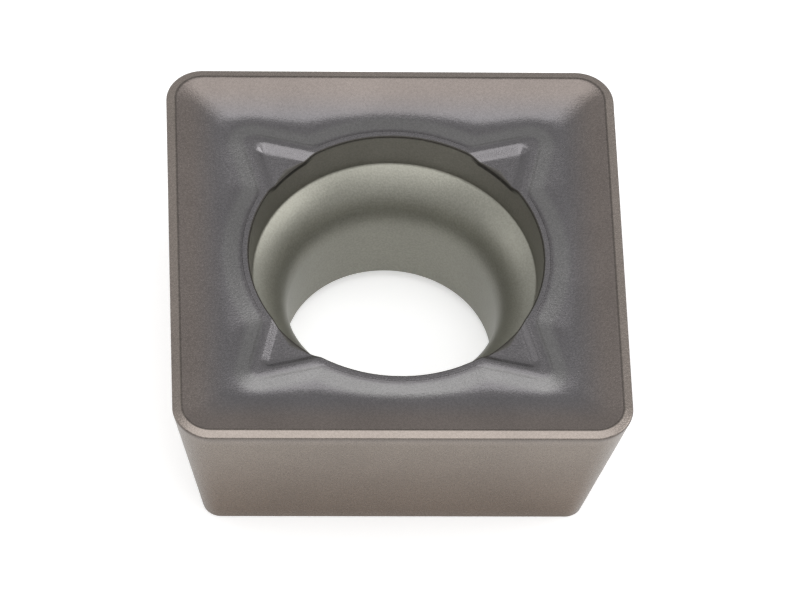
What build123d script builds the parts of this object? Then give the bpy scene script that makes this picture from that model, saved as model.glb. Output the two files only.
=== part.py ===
from build123d import *
from math import radians, sin, tan
import os

# Square cutting insert of sintered carbide: one pressed, sintered and coated
# body, clamped by a screw through its middle.  Millimetres, degrees, +Z up.
# The origin is the middle of the seat face, and the cutting edges are on top.

# ---- Blank ----
inscribed_circle = 9.525        # across the cutting edges, side to side
insert_thickness = 3.97         # seat face to cutting edge
nose_radius = 0.8               # corner of the cutting edge
relief_angle = 11.0             # flanks lean in towards the seat
seat_corner_radius = 0.38       # corner of the seat face
edge_hone = 0.04                # rounding of the cutting edge itself

# ---- Land along the cutting edge ----
land_width = 0.2
land_angle = 15.0               # the land climbs inwards

# ---- Rake faces and groove ----
rake_angle = 14.7               # the rake faces fall inwards
rake_depth = 0.503              # below the cutting edge to their ends, under the ring and bosses
mitre_radius = 0.05             # where two rake faces meet at their ends
groove_blend = 0.8              # bottom of the groove, between rake face and flank
crest_margin = 0.03             # flank left between this round and the ring's crest

# ---- Ring round the screw hole ----
crest_drop = 0.1                # ring and boss crests below the cutting edge
ring_crest_width = 0.14
ring_flank_angle = 11.0

# ---- Star bosses on the diagonals ----
boss_count = 4
boss_half_angle = 31.0          # between a boss's side and its diagonal
boss_reach = 4.36               # middle of the insert to where a crest's sides meet
boss_tip_radius = 0.1           # corner of the crest
boss_flank_angle = 11.0
boss_ridge_width = 0.08         # crest between the flank and the recess
recess_depth = 0.1              # recess floor below the crest
recess_wall_angle = 30.0
recess_mouth_radius = 0.2       # corner of a recess at the crest
recess_floor_radius = 0.05      # corner of its floor

# ---- Screw hole ----
screw_hole_diameter = 4.4
throat_top_height = 1.8         # seat face to the top of the straight bore
bore_chamfer = 0.28             # at the seat face
mouth_diameter = 6.18           # at the crest of the ring
seat_rim_depth = 0.9            # outer rim of the screw seat below the edge
mouth_draft_angle = 7.1         # the mouth narrows towards the screw seat

# ---- Working margins ----
overcut = 0.5                   # how far a cutting form runs past a face
near = 0.001                    # edges this close to a height lie at it

# ---- Heights ----
edge_height = insert_thickness
land_rise = land_width * tan(radians(land_angle))
top_height = edge_height + land_rise
crest_height = edge_height - crest_drop
rake_end_height = edge_height - rake_depth
seat_rim_height = edge_height - seat_rim_depth

# ---- Plan sizes ----
edge_half = inscribed_circle / 2
seat_half = edge_half - insert_thickness * tan(radians(relief_angle))
land_half = edge_half - land_width
rake_slope = tan(radians(rake_angle))
rake_end_half = land_half - (top_height - rake_end_height) / rake_slope
mouth_radius = mouth_diameter / 2
throat_radius = screw_hole_diameter / 2
sharpness = sin(radians(boss_half_angle))  # a wedge's side moves this far as its point moves by 1

# ---- Groove between the ring and a rake face ----
crest_radius = mouth_radius + ring_crest_width
ring_slope = tan(radians(ring_flank_angle))
valley_rise = crest_height + crest_radius * ring_slope - top_height + land_half * rake_slope
valley_radius = valley_rise / (rake_slope + ring_slope)
valley_room = valley_radius - crest_radius - crest_margin
valley_blend = min(groove_blend, valley_room / tan(radians((ring_flank_angle + rake_angle) / 2)))


def rounded_square(half_width, corner_radius, height):
    """Level square outline with round corners, centred on the screw axis."""
    outline = RectangleRounded(2 * half_width, 2 * half_width, corner_radius)
    return Pos(0, 0, height) * outline


def diagonal_wedge(reach, tip_radius, height):
    """Level triangle with its rounded point on the +X axis and its base on the screw axis."""
    half_base = reach * tan(radians(boss_half_angle))
    triangle = make_face(Polyline((reach, 0), (0, half_base), (0, -half_base), close=True))
    tip = triangle.vertices().sort_by(Axis.X)[-1]
    return Pos(0, 0, height) * fillet(tip, tip_radius)


def wall(lower_edge, upper_edge):
    """Wall between two level edges: flat between straight ones, a cone between arcs."""
    if lower_edge.geom_type == GeomType.LINE:
        corners = [lower_edge @ 0, lower_edge @ 1, upper_edge @ 1, upper_edge @ 0]
        return make_face(Polyline(*corners, close=True))
    return Face.make_surface_from_curves(lower_edge, upper_edge)


def stack(*outlines):
    """Solid through level outlines of one pattern, given from the lowest up."""
    faces = [outlines[0].face(), outlines[-1].face()]
    for lower, upper in zip(outlines, outlines[1:]):
        faces += [wall(*pair) for pair in zip(lower.edges(), upper.edges())]
    return Solid(Shell(faces))


def on_diagonals(form):
    """The same form turned onto each corner diagonal."""
    turn = 360 / boss_count
    return [Rot(0, 0, turn * (number + 0.5)) * form for number in range(boss_count)]


def make_blank():
    """Flanks and land: three square outlines joined by straight-sided walls."""
    blank = stack(
        rounded_square(seat_half, seat_corner_radius, 0),
        rounded_square(edge_half, nose_radius, edge_height),
        rounded_square(land_half, nose_radius - land_width, top_height),
    )
    cutting_edge = blank.edges().filter_by_position(Axis.Z, edge_height - near, edge_height + near)
    return fillet(cutting_edge, edge_hone)


def make_dish():
    """Dished square whose walls are the rake faces."""
    dish = stack(
        rounded_square(rake_end_half, mitre_radius, rake_end_height),
        rounded_square(land_half, nose_radius - land_width, top_height),
    )
    return dish + extrude(rounded_square(land_half, nose_radius - land_width, top_height), overcut)


def make_ring():
    """Low ring whose crest is the lip of the screw hole."""
    buried_height = rake_end_height - overcut
    buried_radius = crest_radius + (crest_height - buried_height) / ring_slope
    profile = Polyline(
        (0, buried_height),
        (buried_radius, buried_height),
        (crest_radius, crest_height),
        (0, crest_height),
        close=True,
    )
    return revolve(make_face(Plane.XZ * profile), Axis.Z)


def make_boss():
    """Wedge with sloping flanks, its rounded point reaching out along +X."""
    buried_height = rake_end_height - overcut
    flank_run = (crest_height - buried_height) / tan(radians(boss_flank_angle))
    return stack(
        diagonal_wedge(boss_reach + flank_run / sharpness, boss_tip_radius + flank_run, buried_height),
        diagonal_wedge(boss_reach, boss_tip_radius, crest_height),
    )


def make_recess():
    """Shallow wedge pocket in a boss, open to the screw hole."""
    mouth_reach = boss_reach - boss_ridge_width / sharpness
    wall_run = recess_depth / tan(radians(recess_wall_angle)) / sharpness
    past_crest = overcut / recess_depth
    widening = (recess_mouth_radius - recess_floor_radius) * past_crest
    return stack(
        diagonal_wedge(mouth_reach - wall_run, recess_floor_radius, crest_height - recess_depth),
        diagonal_wedge(mouth_reach + wall_run * past_crest, recess_mouth_radius + widening, crest_height + overcut),
    )


def make_screw_hole():
    """Bore, rounded screw seat and drafted mouth, as one turned form."""
    draft = tan(radians(mouth_draft_angle))
    rim_radius = mouth_radius - (crest_height - seat_rim_height) * draft
    open_height = top_height + overcut
    open_radius = mouth_radius + (open_height - crest_height) * draft
    flared_radius = throat_radius + bore_chamfer + overcut
    throat_top = (throat_radius, throat_top_height)
    seat_rim = (rim_radius, seat_rim_height)
    bore = Polyline(
        (0, open_height),
        (0, -overcut),
        (flared_radius, -overcut),
        (throat_radius, bore_chamfer),
        throat_top,
    )
    seat = TangentArc(throat_top, seat_rim, tangent=(0, 1))
    mouth = Polyline(seat_rim, (open_radius, open_height), (0, open_height))
    return revolve(make_face(Plane.XZ * Wire([*bore.edges(), seat, *mouth.edges()])), Axis.Z)


def make_groove_form():
    """Space between the rake faces and the flanks of the ring and bosses, round at the bottom."""
    dish = make_dish()
    hub = make_ring()
    for boss in on_diagonals(make_boss()):
        hub += boss
    groove = dish - hub
    return fillet(new_edges(dish, hub, combined=groove), valley_blend)


def make_insert():
    insert = make_blank() - make_groove_form()
    for recess in on_diagonals(make_recess()):
        insert -= recess
    return insert - make_screw_hole()


os.makedirs("parts", exist_ok=True)
export_step(make_insert(), "parts/insert_body.step")
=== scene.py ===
"""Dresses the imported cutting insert: a fine body with soft blends and a coated finish, in a pale studio."""

import logging
import math
from dataclasses import dataclass, field, replace
from enum import Enum
from functools import lru_cache
from typing import Any, Callable, Protocol

import bmesh
import bpy
from mathutils import Matrix, Vector


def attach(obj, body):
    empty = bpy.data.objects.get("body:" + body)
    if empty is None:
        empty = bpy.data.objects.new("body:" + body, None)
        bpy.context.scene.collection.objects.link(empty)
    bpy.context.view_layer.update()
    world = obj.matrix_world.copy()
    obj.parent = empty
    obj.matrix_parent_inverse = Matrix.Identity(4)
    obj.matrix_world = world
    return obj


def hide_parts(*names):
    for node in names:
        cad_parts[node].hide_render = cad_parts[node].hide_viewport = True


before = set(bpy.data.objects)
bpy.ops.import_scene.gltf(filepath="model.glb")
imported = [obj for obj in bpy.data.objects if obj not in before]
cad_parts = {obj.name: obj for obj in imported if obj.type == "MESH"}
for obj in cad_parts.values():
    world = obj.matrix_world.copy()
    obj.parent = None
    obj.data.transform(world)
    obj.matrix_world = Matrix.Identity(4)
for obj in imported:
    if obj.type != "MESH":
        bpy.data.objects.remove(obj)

MM = 0.001
BODY = "root"
CAD_NODE = "insert_body"
# The line layer carries painted shade: dark lines at the lip, where recesses open into the hole, and along
# the crease.
LAYERS = ("inset", "beyond", "hole", "flank", "line")
TINY = 1e-6
HALVINGS = 24
UNIT = (0.0, 1.0)

log = logging.getLogger("insert")

Colour = tuple[float, float, float]
Point = tuple[float, float]
Range = tuple[float, float]
Lift = Callable[[float, float], float]


# ---------------------------------------------------------------- small sums


def slope(angle_deg: float) -> float:
    """Rise over run of an angle in degrees."""
    return math.tan(math.radians(angle_deg))


def soft_max(a: float, b: float, blend: float) -> float:
    """Larger of two numbers, with the crease between them filled in.

    Args:
        a: First number.
        b: Second number.
        blend: Difference below which the crease is rounded.

    Returns:
        The blended number, never below the larger one.
    """
    share = max(blend - abs(a - b), 0.0) / blend
    return max(a, b) + 0.25 * blend * share * share


def soft_min(a: float, b: float, blend: float) -> float:
    """Smaller of two numbers, with the ridge between them rounded off.

    Args:
        a: First number.
        b: Second number.
        blend: Difference below which the ridge is rounded.

    Returns:
        The blended number, never above the smaller one.
    """
    return -soft_max(-a, -b, blend)


def steps(first: float, last: float, count: int) -> list[float]:
    """Evenly spaced numbers from first to last, without the first."""
    return [first + (last - first) * step / count for step in range(1, count + 1)]


def rounded_corner(before: Point, corner: Point, after: Point, radius: float, count: int) -> list[Point]:
    """Arc that rounds one corner of a section.

    Args:
        before: A point on the straight line into the corner.
        corner: The sharp corner.
        after: A point on the straight line out of it.
        radius: Radius of the arc.
        count: Number of chords.

    Returns:
        The points of the arc, with both tangent points.
    """
    sharp = Vector(corner)
    back, on = (Vector(before) - sharp).normalized(), (Vector(after) - sharp).normalized()
    half = back.angle(on) / 2
    centre = sharp + (back + on).normalized() * (radius / math.sin(half))
    tangent = radius / math.tan(half)
    first, last = sharp + back * tangent - centre, sharp + on * tangent - centre
    points = []
    for share in [0.0, *steps(0.0, 1.0, count)]:
        spoke = first.slerp(last, share) * radius
        points.append((centre.x + spoke.x, centre.y + spoke.y))
    return points


# ---------------------------------------------------------------- plan outlines


class Outline(Protocol):
    """A closed line round the screw axis, seen from above."""

    def radius(self, angle: float) -> float:
        """Distance from the axis in a direction, in radians."""


@dataclass(frozen=True)
class Circle:
    """A circle round the axis."""

    reach: float

    def radius(self, angle: float) -> float:
        """Distance from the axis, the same all round."""
        return self.reach


@dataclass(frozen=True)
class RoundedSquare:
    """A square with round corners."""

    half_width: float
    corner_radius: float

    def radius(self, angle: float) -> float:
        """Distance from the axis to the outline.

        Args:
            angle: The direction, in radians.

        Returns:
            The distance, in millimetres.
        """
        turned = abs((angle + math.pi / 4) % (math.pi / 2) - math.pi / 4)
        middle = self.half_width - self.corner_radius
        side = self.half_width / math.cos(turned)
        if side * math.sin(turned) <= middle:
            return side
        aim = math.pi / 4 - turned
        reach = middle * math.sqrt(2)
        return reach * math.cos(aim) + math.sqrt(self.corner_radius**2 - (reach * math.sin(aim)) ** 2)


@dataclass(frozen=True)
class Wedge:
    """A wedge on each diagonal, its rounded point outwards and its sides at an angle to the diagonal."""

    reach: float
    tip_radius: float
    half_angle: float

    @property
    def half(self) -> float:
        """Angle between a side and the diagonal, in radians."""
        return math.radians(self.half_angle)

    @property
    def tip_centre(self) -> float:
        """Distance from the axis to the middle of the rounded point."""
        return self.reach - self.tip_radius / math.sin(self.half)

    def grown(self, by: float) -> "Wedge":
        """The wedge whose outline lies this far outside, its point rounded about the same middle."""
        return Wedge(self.reach + by / math.sin(self.half), self.tip_radius + by, self.half_angle)

    def radius(self, angle: float) -> float:
        """Distance from the axis to the outline.

        Args:
            angle: The direction, in radians.

        Returns:
            The distance, in millimetres.
        """
        aside = abs(angle % (math.pi / 2) - math.pi / 4)
        sine, cosine = math.sin(self.half), math.cos(self.half)
        if math.tan(aside) * (self.tip_centre + self.tip_radius * sine) > self.tip_radius * cosine:
            return self.reach * sine / math.sin(self.half + aside)
        across = self.tip_centre * math.sin(aside)
        return self.tip_centre * math.cos(aside) + math.sqrt(self.tip_radius**2 - across**2)

    def past(self, x: float, y: float) -> float:
        """Distance outside the nearest wedge's outline.

        Args:
            x: Position to the right.
            y: Position to the back.

        Returns:
            The distance, negative inside the wedge.
        """
        out = (abs(x) + abs(y)) / math.sqrt(2)
        aside = abs(abs(x) - abs(y)) / math.sqrt(2)
        sine, cosine = math.sin(self.half), math.cos(self.half)
        beyond = out - self.tip_centre
        if beyond * cosine > aside * sine:
            return math.hypot(beyond, aside) - self.tip_radius
        return (out - self.reach) * sine + aside * cosine


@dataclass(frozen=True)
class Star:
    """A circle with a wedge on each diagonal."""

    circle: float
    wedge: Wedge

    def grown(self, by: float) -> "Star":
        """The star whose outline lies this far outside."""
        return Star(self.circle + by, self.wedge.grown(by))

    def radius(self, angle: float) -> float:
        """Distance from the axis in a direction, in radians."""
        return max(self.circle, self.wedge.radius(angle))


@dataclass(frozen=True)
class Between:
    """A line part of the way from one outline to another."""

    inner: Outline
    outer: Outline
    share: float

    def radius(self, angle: float) -> float:
        """Distance from the axis in a direction, in radians."""
        inner = self.inner.radius(angle)
        return inner + (self.outer.radius(angle) - inner) * self.share


# ---------------------------------------------------------------- the chip-breaker form


@dataclass(frozen=True)
class ChipBreaker:
    """Top face: land, rake faces, groove, ring, star bosses and their recesses. Millimetres and degrees."""

    edge_height: float = 3.97
    edge_half: float = 9.525 / 2
    nose_radius: float = 0.8
    land_width: float = 0.2
    land_angle: float = 15.0
    rake_angle: float = 14.7
    crest_drop: float = 0.1
    mouth_radius: float = 6.18 / 2
    ring_crest_width: float = 0.14
    ring_flank_angle: float = 11.0
    boss_half_angle: float = 31.0
    boss_reach: float = 4.36
    boss_tip_radius: float = 0.1
    boss_flank_angle: float = 11.0
    boss_ridge_width: float = 0.08
    recess_depth: float = 0.1
    recess_wall_angle: float = 30.0
    recess_mouth_radius: float = 0.2
    recess_floor_radius: float = 0.02
    mitre_radius: float = 0.3
    land_blend: float = 0.008
    groove_blend: float = 0.085
    foot_blend: float = 0.02
    ring_crest_blend: float = 0.045
    boss_crest_blend: float = 0.045
    recess_blend: float = 0.02
    ring_crease: float = 0.03
    boss_crease: float = 0.125
    crease_width: float = 0.035
    crease_depth: float = 0.001
    crease_merge: float = 0.1
    crease_fade: float = 1 / 16

    @property
    def land_half(self) -> float:
        """Half the width between the land's inner edges."""
        return self.edge_half - self.land_width

    @property
    def land_corner(self) -> float:
        """Corner radius of the land's inner edge."""
        return self.nose_radius - self.land_width

    @property
    def top_height(self) -> float:
        """Height of the land's inner edge, the highest line of the insert."""
        return self.edge_height + self.land_width * slope(self.land_angle)

    @property
    def crest_height(self) -> float:
        """Height of the ring and of the bosses."""
        return self.edge_height - self.crest_drop

    @property
    def crest_radius(self) -> float:
        """Outer radius of the ring's crest."""
        return self.mouth_radius + self.ring_crest_width

    @property
    def boss(self) -> Wedge:
        """Outline of the bosses' crests."""
        return Wedge(self.boss_reach, self.boss_tip_radius, self.boss_half_angle)

    @property
    def recess(self) -> Wedge:
        """Outline of the recesses at the crest."""
        reach = self.boss.grown(-self.boss_ridge_width).reach
        return Wedge(reach, self.recess_mouth_radius, self.boss_half_angle)

    def inset(self, x: float, y: float) -> float:
        """Distance in from the land's inner edge, with mitres that keep a round corner.

        Args:
            x: Position to the right.
            y: Position to the back.

        Returns:
            The distance, negative on the land.
        """
        far, near = max(abs(x), abs(y)), min(abs(x), abs(y))
        lean = far - near
        if lean < self.mitre_radius:
            middle = (far + near - math.sqrt(2 * self.mitre_radius**2 - lean**2)) / 2
            deep = self.land_half - self.mitre_radius - middle
            if deep > self.land_corner - self.mitre_radius:
                return deep
        middle = self.land_half - self.land_corner
        if near > middle:
            return self.land_corner - math.hypot(far - middle, near - middle)
        return self.land_half - far

    def rim(self, x: float, y: float) -> float:
        """Height of the land and the rake faces, which meet in a crest.

        Args:
            x: Position to the right.
            y: Position to the back.

        Returns:
            The height above the seat face.
        """
        inset = self.inset(x, y)
        return self.top_height + soft_min(
            inset * slope(self.land_angle), -inset * slope(self.rake_angle), self.land_blend
        )

    def hub(self, x: float, y: float) -> float:
        """Height of the ring and the bosses, whose flanks fall until a rake face meets them.

        Args:
            x: Position to the right.
            y: Position to the back.

        Returns:
            The height above the seat face.
        """
        past = math.hypot(x, y) - self.crest_radius
        ring = soft_max(past, 0.0, self.ring_crest_blend) * slope(self.ring_flank_angle)
        boss = soft_max(self.boss.past(x, y), 0.0, self.boss_crest_blend) * slope(self.boss_flank_angle)
        return self.crest_height - soft_min(ring, boss, min(self.foot_blend, ring + boss) + TINY)

    def beyond(self, x: float, y: float) -> float:
        """Distance outside the crests of the ring and the bosses."""
        return min(math.hypot(x, y) - self.crest_radius, self.boss.past(x, y))

    def crease(self, x: float, y: float) -> float:
        """How strongly the fine crease along the ring and the bosses shows.

        Args:
            x: Position to the right.
            y: Position to the back.

        Returns:
            Its strength, from 0 to 1, which fades towards the tips of the bosses.
        """
        ring = math.hypot(x, y) - self.crest_radius - self.ring_crease
        boss = self.boss.past(x, y) - self.boss_crease
        off = soft_min(ring, boss, self.crease_merge) / self.crease_width
        out = (abs(x) + abs(y)) / math.sqrt(2) / self.boss_reach
        return max(0.0, 1.0 - off * off) * min(1.0, max(0.0, (1.0 - out) / self.crease_fade))

    def height(self, x: float, y: float) -> float:
        """Height of the finished top face.

        Args:
            x: Position to the right.
            y: Position to the back.

        Returns:
            The height above the seat face.
        """
        pocket = soft_max(
            self.crest_height + self.recess.past(x, y) * slope(self.recess_wall_angle),
            self.crest_height - self.recess_depth,
            self.recess_blend,
        )
        groove = soft_max(self.rim(x, y), self.hub(x, y), self.groove_blend)
        return soft_min(groove, pocket, self.recess_blend) - self.crease_depth * self.crease(x, y)

    def outlines(self, lip: Circle) -> list[tuple[Outline, int]]:
        """Leading lines of the form from the lip to the land.

        Args:
            lip: Outline of the hole's lip.

        Returns:
            The lines from the inside out, each with the number of rows that lead up to it.
        """
        floor = self.recess.grown(-self.recess_depth / slope(self.recess_wall_angle))
        crease = Star(self.crest_radius + self.ring_crease, self.boss.grown(self.boss_crease))
        thread = (self.crest_radius - lip.reach) / 3
        return [
            (lip, 0),
            (Star(lip.reach + thread, replace(floor, tip_radius=self.recess_floor_radius)), 6),
            (Star(lip.reach + 2 * thread, self.recess), 8),
            (Star(self.crest_radius, self.boss), 4),
            (crease.grown(-self.crease_width), 5),
            (crease, 2),
            (crease.grown(self.crease_width), 2),
            (Valley(self), 12),
            (RoundedSquare(self.land_half, self.land_corner), 20),
        ]


@dataclass(frozen=True)
class Valley:
    """The bottom line of the groove, where the rake faces meet the flanks of the ring and the bosses."""

    form: ChipBreaker

    @lru_cache(maxsize=None)
    def radius(self, angle: float) -> float:
        """Distance from the axis to the line, found by halving.

        Args:
            angle: The direction, in radians.

        Returns:
            The distance, in millimetres.
        """
        x, y = math.cos(angle), math.sin(angle)
        low, high = self.form.crest_radius, self.form.land_half * math.sqrt(2)
        for _ in range(HALVINGS):
            middle = (low + high) / 2
            if self.form.hub(middle * x, middle * y) > self.form.rim(middle * x, middle * y):
                low = middle
            else:
                high = middle
        return low


# ---------------------------------------------------------------- the body


class Coat(Enum):
    """Regions of the surface that take their own tint of coating."""

    HOLE = "hole"
    TOP = "top"
    FLANK = "flank"


@dataclass(frozen=True)
class Row:
    """One closed row of points of the surface."""

    outline: Outline
    lift: Lift
    coat: Coat
    # line is how dark a painted shade line along the row is; opening_painted_shade is how dark the painted
    # shade is where a recess opens.
    line: float = 0.0
    opening_painted_shade: float = 0.0

    def place(self, angle: float) -> Vector:
        """Position of the row's point in a direction.

        Args:
            angle: The direction, in radians.

        Returns:
            The position, in metres.
        """
        radius = self.outline.radius(angle)
        x, y = radius * math.cos(angle), radius * math.sin(angle)
        return Vector((x, y, self.lift(x, y))) * MM


def level(height: float) -> Lift:
    """A lift that is the same all round."""
    return lambda x, y: height


@dataclass
class InsertBody:
    """The whole insert as one closed surface, drawn from the bore over the top to the seat. Millimetres."""

    form: ChipBreaker = field(default_factory=ChipBreaker)
    relief_angle: float = 11.0
    seat_corner_radius: float = 0.38
    edge_hone: float = 0.04
    seat_edge_hone: float = 0.03
    bore_radius: float = 2.2
    bore_chamfer: float = 0.28
    bore_edge_round: float = 0.05
    throat_length: float = 1.8
    seat_rim_depth: float = 0.9
    mouth_draft_angle: float = 7.1
    rim_thread: float = 0.03
    plain_share: float = 0.88
    # Share up the mouth's wall, how dark its painted shade is, and how dark where a recess opens.
    mouth_painted_shades: tuple[tuple[float, float, float], ...] = (
        (0.91, 0.0, 0.85),
        (0.96, 0.0, 0.95),
        (1.0, 0.6, 0.95),
    )
    lip_hone: float = 0.03
    lip_turns: tuple[float, ...] = (22.5, 45.0, 67.5, 90.0)
    # Darkness of the painted shade line on the lip's hone, which covers the hone's highlight.
    lip_painted_shade: float = 0.9
    # Darkness of the painted shade along the fine crease round the ring and the bosses; the crease's own dip
    # is tiny.
    crease_painted_shade: float = 0.22
    bore_edge_rows: int = 3
    throat_rows: int = 6
    seat_rows: int = 30
    mouth_rows: int = 8
    land_rows: int = 8
    hone_rows: int = 8
    flank_rows: int = 12
    seat_edge_rows: int = 5
    columns: int = 576
    crowding: float = 0.3

    def hole_section(self) -> list[Point]:
        """Radius and height up the hole: chamfer, throat and rounded screw seat, to just short of its rim.

        Returns:
            The points from the seat face up.
        """
        rim_height = self.form.edge_height - self.seat_rim_depth
        across, up = self.rim_radius() - self.bore_radius, rim_height - self.throat_length
        seat_radius = (across**2 + up**2) / (2 * across)
        sweep = math.atan2(up, seat_radius - across)
        foot, chamfer_top = (self.bore_radius + self.bore_chamfer, 0.0), (self.bore_radius, self.bore_chamfer)
        throat_top = (self.bore_radius, self.throat_length)
        points = [foot]
        points += rounded_corner(foot, chamfer_top, throat_top, self.bore_edge_round, self.bore_edge_rows)
        throat_start = self.bore_chamfer + self.bore_edge_round
        throat = steps(throat_start, self.throat_length, self.throat_rows)
        points += [(self.bore_radius, height) for height in throat]
        for turn in steps(0.0, sweep * (1 - self.rim_thread), self.seat_rows):
            out = seat_radius * (1 - math.cos(turn))
            points.append((self.bore_radius + out, self.throat_length + seat_radius * math.sin(turn)))
        return points

    def rim_radius(self) -> float:
        """Radius of the screw seat's outer rim."""
        form = self.form
        return form.mouth_radius - (self.seat_rim_depth - form.crest_drop) * slope(self.mouth_draft_angle)

    def lip_height(self, x: float, y: float) -> float:
        """Height of the top face where the hole breaks through it."""
        scale = (self.form.mouth_radius + self.lip_hone) / math.hypot(x, y)
        return self.form.height(x * scale, y * scale)

    def opening(self, x: float, y: float) -> float:
        """Depth of a recess where it opens into the hole in this direction, as a share of its full depth."""
        depth = self.form.crest_height - self.lip_height(x, y)
        return min(1.0, max(0.0, depth / self.form.recess_depth))

    def mouth_row(self, share: float, line: float = 0.0, opening_painted_shade: float = 0.0) -> Row:
        """A row part of the way from the seat's rim to the hone of the lip.

        Args:
            share: How far up the mouth's wall the row lies.
            line: How dark its painted shade line is.
            opening_painted_shade: How dark the painted shade is where a recess opens into the hole.

        Returns:
            The row.
        """
        form = self.form
        rim_height = form.edge_height - self.seat_rim_depth
        radius = self.rim_radius() + (form.mouth_radius - self.rim_radius()) * share

        def lift(x: float, y: float) -> float:
            """Height of the row, which follows the lip down into the recesses."""
            return rim_height + (self.lip_height(x, y) - self.lip_hone - rim_height) * share

        return Row(Circle(radius), lift, Coat.HOLE, line, opening_painted_shade)

    def lip_row(self, turn_deg: float) -> Row:
        """A row on the small arc between the mouth's wall and the top face.

        Args:
            turn_deg: How far round the arc the row lies.

        Returns:
            The row.
        """
        turn = math.radians(turn_deg)
        radius = self.form.mouth_radius + self.lip_hone * (1 - math.cos(turn))
        drop = self.lip_hone * (1 - math.sin(turn))
        # The whole arc carries the painted shade line, standing in for the dark line at the lip.
        return Row(Circle(radius), lambda x, y: self.lip_height(x, y) - drop, Coat.HOLE, self.lip_painted_shade)

    def flank_outline(self, height: float) -> RoundedSquare:
        """Outline of the flanks, whose corners grow from the seat face to the cutting edge.

        Args:
            height: Height above the seat face.

        Returns:
            The outline.
        """
        form = self.form
        down = form.edge_height - height
        corner = form.nose_radius - (form.nose_radius - self.seat_corner_radius) * down / form.edge_height
        return RoundedSquare(form.edge_half - down * slope(self.relief_angle), corner)

    def top_rows(self) -> list[Row]:
        """Rows from the lip to the land's inner edge.

        Returns:
            The rows from the inside out.
        """
        form = self.form
        leading = form.outlines(Circle(form.mouth_radius + self.lip_hone))
        rows = []
        for (inner, _), (outer, count) in zip(leading, leading[1:]):
            outlines = [Between(inner, outer, share) for share in steps(0.0, 1.0, count)]
            rows += [Row(outline, form.height, Coat.TOP) for outline in outlines]
        return rows

    def edge_rows(self) -> list[Row]:
        """Rows down the land, round the honed cutting edge, down the flank and round the seat's edge.

        Returns:
            The rows in that order.
        """
        form = self.form
        seat_half = self.flank_outline(0.0).half_width
        edge, seat = (form.edge_half, form.edge_height), (seat_half, 0.0)
        hone = rounded_corner((form.land_half, form.top_height), edge, seat, self.edge_hone, self.hone_rows)
        rows = []
        for half in steps(form.land_half, hone[0][0], self.land_rows):
            corner = form.nose_radius - (form.edge_half - half)
            rows.append(Row(RoundedSquare(half, corner), form.height, Coat.TOP))
        for half, height in hone[1:]:
            corner = form.nose_radius - (form.edge_half - half)
            rows.append(Row(RoundedSquare(half, corner), level(height), Coat.TOP))
        foot = rounded_corner(edge, seat, (0.0, 0.0), self.seat_edge_hone, self.seat_edge_rows)
        for height in steps(hone[-1][1], foot[0][1], self.flank_rows):
            rows.append(Row(self.flank_outline(height), level(height), Coat.FLANK))
        for half, height in foot[1:]:
            rows.append(Row(RoundedSquare(half, self.seat_corner_radius), level(height), Coat.FLANK))
        return rows

    def rows(self) -> list[Row]:
        """Every row of the surface.

        Returns:
            The rows from the bore over the top to the seat face.
        """
        hole = [Row(Circle(radius), level(height), Coat.HOLE) for radius, height in self.hole_section()]
        plain = [0.0, self.rim_thread, *steps(self.rim_thread, self.plain_share, self.mouth_rows)]
        mouth = [self.mouth_row(share) for share in plain]
        mouth += [self.mouth_row(share, line, opening_painted_shade) for share, line, opening_painted_shade in self.mouth_painted_shades]
        lip = [self.lip_row(turn) for turn in self.lip_turns]
        return hole + mouth + lip + self.top_rows() + self.edge_rows()

    def build(self) -> bpy.types.Object:
        """Draws the surface row by row out of a circle, and closes the seat face.

        Returns:
            The finished piece.
        """
        mesh = bmesh.new()
        layers = {name: mesh.verts.layers.float.new(name) for name in LAYERS}
        angle = mesh.verts.layers.float.new("angle")
        first, *others = self.rows()
        ring = bmesh.ops.create_circle(mesh, segments=self.columns, radius=1.0)["verts"]
        for point in ring:
            even = math.atan2(point.co.y, point.co.x)
            point[angle] = even + self.crowding / 4 * math.sin(4 * even)
        self.draw(ring, first, angle, layers)
        edges = mesh.edges[:]
        for row in others:
            made = bmesh.ops.extrude_edge_only(mesh, edges=edges)["geom"]
            ring = [part for part in made if isinstance(part, bmesh.types.BMVert)]
            around = set(ring)
            made_edges = [part for part in made if isinstance(part, bmesh.types.BMEdge)]
            edges = [edge for edge in made_edges if around.issuperset(edge.verts)]
            self.draw(ring, row, angle, layers)
        bmesh.ops.bridge_loops(mesh, edges=[edge for edge in mesh.edges if edge.is_boundary])
        bmesh.ops.recalc_face_normals(mesh, faces=mesh.faces[:])
        for face in mesh.faces:
            face.smooth = True
        piece = bpy.data.objects.new("insert_coated_body", bpy.data.meshes.new("insert_coated_body"))
        mesh.to_mesh(piece.data)
        mesh.free()
        bpy.context.scene.collection.objects.link(piece)
        return piece

    def draw(self, ring: list[bmesh.types.BMVert], row: Row, angle: Any, layers: dict[str, Any]) -> None:
        """Moves a ring of points on to its row and notes which coat and how much painted shade each one
        carries.

        Args:
            ring: The points of the ring.
            row: The row that they go to.
            angle: The mesh's layer of directions, in radians.
            layers: The mesh's number layers for the coat and the painted shade.
        """
        for point in ring:
            point.co = row.place(point[angle])
            x, y, _ = point.co / MM
            point[layers["inset"]] = self.form.land_width + self.form.inset(x, y)
            point[layers["beyond"]] = self.form.beyond(x, y)
            point[layers["hole"]] = float(row.coat is Coat.HOLE)
            point[layers["flank"]] = float(row.coat is Coat.FLANK)
            # Painted shade: the row's own line, the crease's line on the top face, and darker where a recess
            # opens into the hole.
            line = row.line
            if row.coat is Coat.TOP:
                line = self.crease_painted_shade * self.form.crease(x, y)
            elif row.opening_painted_shade > line:
                line += (row.opening_painted_shade - line) * self.opening(x, y)
            point[layers["line"]] = line


# ---------------------------------------------------------------- finishes


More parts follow.
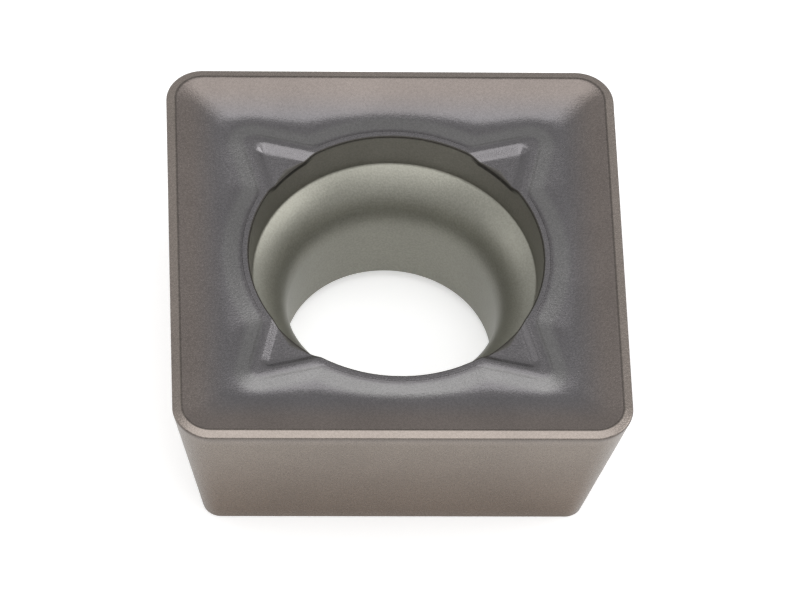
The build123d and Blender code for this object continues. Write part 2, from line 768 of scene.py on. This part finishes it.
class Nodes:
    """Short hand for laying out one node tree."""

    def __init__(self, tree: bpy.types.NodeTree) -> None:
        """Starts with an emptied tree."""
        self.tree = tree
        tree.nodes.clear()

    def feed(self, socket: bpy.types.NodeSocket, value: Any) -> None:
        """Gives a socket what it works on.

        Args:
            socket: The socket.
            value: A plain value, or another node's output.
        """
        if isinstance(value, bpy.types.NodeSocket):
            self.tree.links.new(value, socket)
        else:
            socket.default_value = value

    def add(self, kind: str, inputs: dict[str, Any] | None = None, **settings: Any) -> bpy.types.Node:
        """Adds a node.

        Args:
            kind: Blender's name for the node's class.
            inputs: What goes into its sockets: a plain value, or another node's output.
            settings: The node's own settings.

        Returns:
            The new node.
        """
        node = self.tree.nodes.new(kind)
        for name, value in settings.items():
            setattr(node, name, value)
        for name, value in (inputs or {}).items():
            self.feed(node.inputs[name], value)
        return node

    def mix(self, share: Any, first: Any, second: Any, blend_type: str = "MIX") -> bpy.types.NodeSocket:
        """Colour part of the way from one to another.

        Args:
            share: How much of the second is taken.
            first: First colour.
            second: Second colour.
            blend_type: How the second is laid over the first.

        Returns:
            The mixed colour.
        """
        node = self.tree.nodes.new("ShaderNodeMix")
        node.data_type = "RGBA"
        node.blend_type = blend_type
        self.feed(node.inputs[0], share)
        for number, colour in ((6, first), (7, second)):
            plain = not isinstance(colour, bpy.types.NodeSocket)
            self.feed(node.inputs[number], (*colour, 1.0) if plain else colour)
        return node.outputs[2]

    def maths(self, operation: str, first: Any, second: Any = 0.0) -> bpy.types.NodeSocket:
        """Result of one sum on two numbers.

        Args:
            operation: Blender's name for the sum.
            first: First number.
            second: Second number.

        Returns:
            The result.
        """
        node = self.tree.nodes.new("ShaderNodeMath")
        node.operation = operation
        self.feed(node.inputs[0], first)
        self.feed(node.inputs[1], second)
        return node.outputs[0]

    def between(self, value: Any, span: Range, first: float = 0.0, last: float = 1.0) -> bpy.types.NodeSocket:
        """Carries a number smoothly from one range to another.

        Args:
            value: The number.
            span: Its range.
            first: Result at the start of the range.
            last: Result at the end.

        Returns:
            The carried number.
        """
        node = self.tree.nodes.new("ShaderNodeMapRange")
        node.interpolation_type = "SMOOTHSTEP"
        self.tree.links.new(value, node.inputs[0])
        for number, setting in zip((1, 2, 3, 4), (*span, first, last)):
            node.inputs[number].default_value = setting
        return node.outputs[0]


@dataclass(frozen=True)
class CoatedCarbide:
    """Thin hard coating on sintered carbide: a satin, mauve by the edge and blue-grey in the groove, with
    painted shade.
    """

    land: Colour = (0.284, 0.248, 0.224)
    rake: Colour = (0.205, 0.178, 0.165)
    groove: Colour = (0.168, 0.161, 0.167)
    flank: Colour = (0.238, 0.202, 0.172)
    # Flank colour at the seat face: painted shade, darker towards the floor.
    flank_foot_shade: Colour = (0.176, 0.132, 0.100)
    hub: Colour = (0.204, 0.200, 0.200)
    hole: Colour = (0.300, 0.296, 0.256)
    mouth: Colour = (0.226, 0.217, 0.188)
    # Dark colour of the painted shade lines and the painted edge reflection, also used for the line along the
    # land's crest.
    line: Colour = (0.030, 0.027, 0.024)
    # Painted dark reflection on the honed cutting edge, as a share of the dark colour.
    edge_dark_reflection: float = 0.45
    crest_line: float = 0.55
    land_width: float = ChipBreaker.land_width
    edge_fade: Range = (0.0, 0.04)
    crest_fade: Range = (0.01, 0.03)
    land_fade: Range = (0.19, 0.22)
    groove_fade: Range = (0.4, 1.2)
    hub_rise: Range = (0.03, 0.13)
    hub_fall: Range = (0.3, 0.5)
    flank_rise: Range = (0.0, 3.9)
    mouth_rise: Range = (3.05, 3.10)
    roughness: float = 0.27
    roughness_swing: float = 0.03
    hole_roughness: float = 0.4
    hole_metal: float = 0.82
    grain_per_mm: float = 24.0
    grain_depth: float = 0.004
    speckle: Range = (0.9, 1.1)
    cloud_per_mm: float = 0.7
    clouding: Range = (0.96, 1.04)
    contrast: Range = (0.3, 0.7)
    swing_contrast: Range = (0.2, 0.8)

    def tint(self, nodes: Nodes, in_mm: bpy.types.NodeSocket) -> bpy.types.NodeSocket:
        """Colour of the coating from the cutting edge to the groove, on the flanks and in the hole, with
        painted shade and a painted dark reflection on the cutting edge.

        Args:
            nodes: The material's node tree.
            in_mm: Position in the object's own frame.

        Returns:
            The colour, before speckle and clouding.
        """
        inset, beyond, hole, flank, line = (
            nodes.add("ShaderNodeAttribute", attribute_name=name).outputs["Fac"] for name in LAYERS
        )
        height = nodes.add("ShaderNodeSeparateXYZ", {"Vector": in_mm}).outputs["Z"]
        colour = nodes.mix(nodes.between(inset, self.land_fade), self.land, self.rake)
        colour = nodes.mix(nodes.between(inset, self.groove_fade), colour, self.groove)
        rising, falling = nodes.between(beyond, self.hub_rise), nodes.between(beyond, self.hub_fall, 1.0, 0.0)
        colour = nodes.mix(nodes.maths("MULTIPLY", rising, falling), colour, self.hub)
        # Painted dark reflection along the honed cutting edge.
        colour = nodes.mix(nodes.between(inset, self.edge_fade, self.edge_dark_reflection, 0.0), colour, self.line)
        off_crest = nodes.maths("ABSOLUTE", nodes.maths("SUBTRACT", inset, self.land_width))
        colour = nodes.mix(nodes.between(off_crest, self.crest_fade, self.crest_line, 0.0), colour, self.line)
        # Flanks painted darker towards the seat face, as painted shade near the floor.
        side = nodes.mix(nodes.between(height, self.flank_rise), self.flank_foot_shade, self.flank)
        colour = nodes.mix(flank, colour, side)
        inside = nodes.mix(nodes.between(height, self.mouth_rise), self.hole, self.mouth)
        colour = nodes.mix(hole, colour, inside)
        # Painted shade lines at the lip, where recesses open into the hole, and along the crease.
        return nodes.mix(line, colour, self.line)

    def material(self) -> bpy.types.Material:
        """Builds the material.

        Returns:
            The finished material.
        """
        made = bpy.data.materials.new("coated_carbide")
        made.use_nodes = True
        nodes = Nodes(made.node_tree)
        place = nodes.add("ShaderNodeTexCoord").outputs["Object"]
        in_mm = nodes.add("ShaderNodeMapping", {"Vector": place, "Scale": (1 / MM,) * 3}).outputs["Vector"]
        grain = nodes.add(
            "ShaderNodeTexNoise",
            {"Vector": in_mm, "Scale": self.grain_per_mm, "Detail": 3.0, "Roughness": 0.6},
        ).outputs["Fac"]
        cloud = nodes.add(
            "ShaderNodeTexNoise",
            {"Vector": in_mm, "Scale": self.cloud_per_mm, "Detail": 2.0, "Roughness": 0.5},
        ).outputs["Fac"]
        colour = self.tint(nodes, in_mm)
        speckled = nodes.between(grain, self.contrast, *self.speckle)
        clouded = nodes.between(cloud, self.contrast, *self.clouding)
        shade = nodes.maths("MULTIPLY", speckled, clouded)
        grey = nodes.add("ShaderNodeCombineColor", {"Red": shade, "Green": shade, "Blue": shade}).outputs[0]
        colour = nodes.mix(1.0, colour, grey, "MULTIPLY")
        bump = nodes.add(
            "ShaderNodeBump", {"Height": grain, "Strength": 1.0, "Distance": self.grain_depth * MM}
        ).outputs["Normal"]
        hole = nodes.add("ShaderNodeAttribute", attribute_name="hole").outputs["Fac"]
        swing = self.roughness_swing
        rough = nodes.between(grain, self.swing_contrast, self.roughness - swing, self.roughness + swing)
        rougher = nodes.between(hole, UNIT, 0.0, self.hole_roughness - self.roughness)
        surface = nodes.add(
            "ShaderNodeBsdfPrincipled",
            {
                "Base Color": colour,
                "Metallic": nodes.between(hole, UNIT, 1.0, self.hole_metal),
                "Roughness": nodes.maths("ADD", rough, rougher),
                "Normal": bump,
            },
        )
        nodes.add("ShaderNodeOutputMaterial", {"Surface": surface.outputs["BSDF"]})
        return made


# ---------------------------------------------------------------- the studio


def outwards(azimuth_deg: float, elevation_deg: float) -> Vector:
    """Direction from the insert to a place round it.

    Args:
        azimuth_deg: Turn from the front towards the right, in degrees.
        elevation_deg: Angle above the floor, in degrees.

    Returns:
        The direction, as a unit vector.
    """
    azimuth, elevation = math.radians(azimuth_deg), math.radians(elevation_deg)
    level = math.cos(elevation)
    return Vector((math.sin(azimuth) * level, -math.cos(azimuth) * level, math.sin(elevation)))


@dataclass(frozen=True)
class Softbox:
    """A rectangular soft lamp aimed at the insert. Metres, degrees and radiance."""

    name: str
    azimuth: float
    elevation: float
    width: float
    depth: float
    radiance: float
    distance: float = 0.6

    def build(self) -> None:
        """Adds the lamp."""
        lamp = bpy.data.lights.new(self.name, "AREA")
        lamp.shape = "RECTANGLE"
        lamp.size, lamp.size_y = self.width, self.depth
        lamp.energy = self.radiance * self.width * self.depth * math.pi
        holder = bpy.data.objects.new(self.name, lamp)
        out = outwards(self.azimuth, self.elevation)
        aim = out.to_track_quat("Z", "Y").to_matrix().to_4x4()
        holder.matrix_world = Matrix.Translation(out * self.distance) @ aim
        bpy.context.scene.collection.objects.link(holder)


@dataclass(frozen=True)
class Camera:
    """The camera: where it looks from and how long its lens is. Degrees, and millimetres."""

    elevation: float = 54.0195
    turn: float = -6.1381
    roll: float = 5.1698
    distance: float = 156.2315
    aside: float = -0.27842
    up: float = -1.3066
    lens: float = 329.598
    sensor_width: float = 36.0

    def build(self) -> None:
        """Adds the camera and makes it the scene's own."""
        turn, roll = math.radians(self.turn), math.radians(self.roll)
        back = outwards(self.turn, self.elevation)
        level_right = Vector((math.cos(turn), math.sin(turn), 0.0))
        level_up = back.cross(level_right)
        right = math.cos(roll) * level_right + math.sin(roll) * level_up
        up = math.cos(roll) * level_up - math.sin(roll) * level_right
        place = back * self.distance - right * self.aside - up * self.up
        camera = bpy.data.cameras.new("camera")
        camera.sensor_width, camera.lens = self.sensor_width, self.lens
        camera.clip_start, camera.clip_end = 0.01, 100.0
        holder = bpy.data.objects.new("camera", camera)
        turned = Matrix((right, up, back)).transposed().to_4x4()
        holder.matrix_world = Matrix.Translation(place * MM) @ turned
        bpy.context.scene.collection.objects.link(holder)
        bpy.context.scene.camera = holder


@dataclass(frozen=True)
class Studio:
    """Pale floor, soft lamps and an even sky."""

    floor_size: float = 4.0
    floor_white: float = 0.8
    floor_glow: float = 0.5
    floor_gloss: float = 0.25
    sky: float = 0.66
    lamps: tuple[Softbox, ...] = (
        Softbox("overhead_softbox", azimuth=0.0, elevation=88.0, width=0.5, depth=0.58, radiance=1.25),
        Softbox("front_softbox", azimuth=0.0, elevation=55.0, width=0.5, depth=0.42, radiance=0.6),
        Softbox("right_softbox", azimuth=96.0, elevation=43.0, width=0.4, depth=0.25, radiance=2.6),
        Softbox("left_softbox", azimuth=-100.0, elevation=27.0, width=0.42, depth=0.36, radiance=0.6),
    )

    def floor(self) -> None:
        """Adds the floor, which glows a little to the eye and to reflections and keeps the shadow."""
        mesh = bmesh.new()
        bmesh.ops.create_grid(mesh, x_segments=1, y_segments=1, size=self.floor_size / 2)
        floor = bpy.data.objects.new("floor", bpy.data.meshes.new("floor"))
        mesh.to_mesh(floor.data)
        mesh.free()
        bpy.context.scene.collection.objects.link(floor)
        made = bpy.data.materials.new("pale_floor")
        made.use_nodes = True
        nodes = Nodes(made.node_tree)
        rays = nodes.add("ShaderNodeLightPath").outputs
        seen = nodes.maths("MULTIPLY", rays["Is Camera Ray"], self.floor_glow)
        mirrored = nodes.maths("MULTIPLY", rays["Is Glossy Ray"], self.floor_gloss)
        white = (self.floor_white,) * 3 + (1.0,)
        paint = nodes.add("ShaderNodeBsdfDiffuse", {"Color": white}).outputs[0]
        strength = nodes.maths("MAXIMUM", seen, mirrored)
        glow = nodes.add("ShaderNodeEmission", {"Strength": strength}).outputs[0]
        both = nodes.add("ShaderNodeAddShader")
        nodes.tree.links.new(paint, both.inputs[0])
        nodes.tree.links.new(glow, both.inputs[1])
        nodes.add("ShaderNodeOutputMaterial", {"Surface": both.outputs[0]})
        floor.data.materials.append(made)

    def world(self) -> None:
        """Lights everything evenly, and shows white behind."""
        made = bpy.data.worlds.new("sky")
        made.use_nodes = True
        bpy.context.scene.world = made
        nodes = Nodes(made.node_tree)
        seen = nodes.add("ShaderNodeLightPath").outputs["Is Camera Ray"]
        strength = nodes.between(seen, UNIT, self.sky, 1.0)
        sky = nodes.add("ShaderNodeBackground", {"Color": (1.0, 1.0, 1.0, 1.0), "Strength": strength})
        nodes.add("ShaderNodeOutputWorld", {"Surface": sky.outputs[0]})

    def build(self) -> None:
        """Sets up the whole studio."""
        self.floor()
        self.world()
        for lamp in self.lamps:
            lamp.build()


def main() -> None:
    """Builds the insert and its surroundings."""
    logging.basicConfig(level=logging.INFO, format="%(message)s")
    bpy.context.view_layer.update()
    bpy.context.scene.view_settings.view_transform = "Standard"
    Camera().build()
    Studio().build()
    piece = InsertBody().build()
    piece.data.materials.append(CoatedCarbide().material())
    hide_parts(CAD_NODE)
    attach(piece, BODY)
    log.info("%s: %d faces", piece.name, len(piece.data.polygons))


if __name__ == "__main__":
    main()
